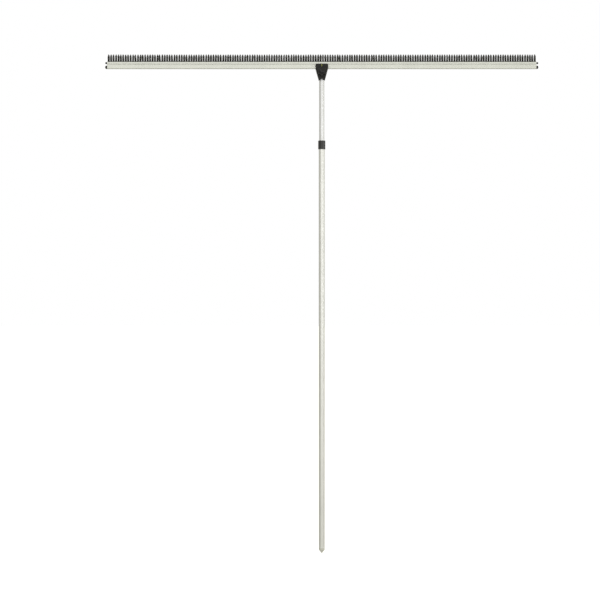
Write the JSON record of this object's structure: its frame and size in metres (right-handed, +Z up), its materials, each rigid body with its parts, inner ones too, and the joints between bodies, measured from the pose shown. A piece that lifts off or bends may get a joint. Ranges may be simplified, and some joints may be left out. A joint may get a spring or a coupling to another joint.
{
  "type": "window cleaning squeegee",
  "caption": "Wide T-shaped cleaning head: a bristle strip in an aluminium rail, clamped by a star-knob bracket on a telescopic twist-lock pole.",
  "frame": {"origin": "on the pole's axis, at the lower end of the outer tube", "axes": "+Z up the pole to the head, +X along the rail, -Y the knob's side"},
  "size_m": [1.8, 0.0571, 2.0734],
  "materials": {
    "tube_aluminium": "satin anodised, drawn",
    "rail_aluminium": "satin anodised extrusion",
    "grey_plastic": "moulded, satin",
    "black_nylon": "fine moulded texture",
    "gloss_plastic": "polished moulding",
    "marker_plastic": "yellow-green inlay",
    "rubber": "matte rubber",
    "steel": "zinc plated",
    "bristle": "stiff crimped filament"
  },
  "bodies": {
    "pole": {"outer_tube": "tube_aluminium", "end_tip": "grey_plastic", "collet_sleeve": "black_nylon"},
    "wedge": {"wedge_ring": "grey_plastic"},
    "collar": {"twist_collar": "gloss_plastic"},
    "mast": {"inner_tube": "tube_aluminium", "glide_bush": "black_nylon", "bush_rivet": "steel", "bracket_body": "black_nylon", "back_pad": "rubber", "clamp_nut": "steel", "tube_screws": "steel", "release_spring": "steel"},
    "jaw": {"front_jaw": "black_nylon", "jaw_pad": "rubber", "centring_mark": "marker_plastic", "thrust_washer": "steel"},
    "knob": {"star_knob": "black_nylon", "knob_cap": "gloss_plastic", "clamp_stud": "steel"},
    "head": {"head_rail": "rail_aluminium", "brush_backing": "black_nylon", "bristle_tufts": "bristle", "channel_plug_left": "rubber", "channel_plug_right": "rubber", "rail_cap_left": "rubber", "rail_cap_right": "rubber"}
  },
  "joints": [
    {"name": "telescope", "type": "slide", "parent": "pole", "child": "mast", "axis": [0, 0, 1], "range_m": [-0.247, 1.15]},
    {"name": "wedge_slide", "type": "slide", "parent": "pole", "child": "wedge", "axis": [0, 0, 1], "range_m": [0, 0.0015]},
    {"name": "collar_twist", "type": "hinge", "parent": "wedge", "child": "collar", "pos_m": [0, 0, 1.675], "axis": [0, 0, 1], "range_deg": [0, 270]},
    {"name": "jaw_slide", "type": "slide", "parent": "mast", "child": "jaw", "axis": [0, -1, 0], "range_m": [0, 0.0025], "deforming": ["release_spring"]},
    {"name": "knob_turn", "type": "hinge", "parent": "jaw", "child": "knob", "pos_m": [0, -0.03, 1.978], "axis": [0, -1, 0], "range_deg": [0, 720]},
    {"name": "rail_slide", "type": "slide", "parent": "mast", "child": "head", "axis": [1, 0, 0], "range_m": [-0.3, 0.3]}
  ],
  "couplings": [
    {"joint": "collar_twist", "follows": "wedge_slide", "rad_per_m": 3141.6},
    {"joint": "knob_turn", "follows": "jaw_slide", "rad_per_m": 5026.6}
  ]
}
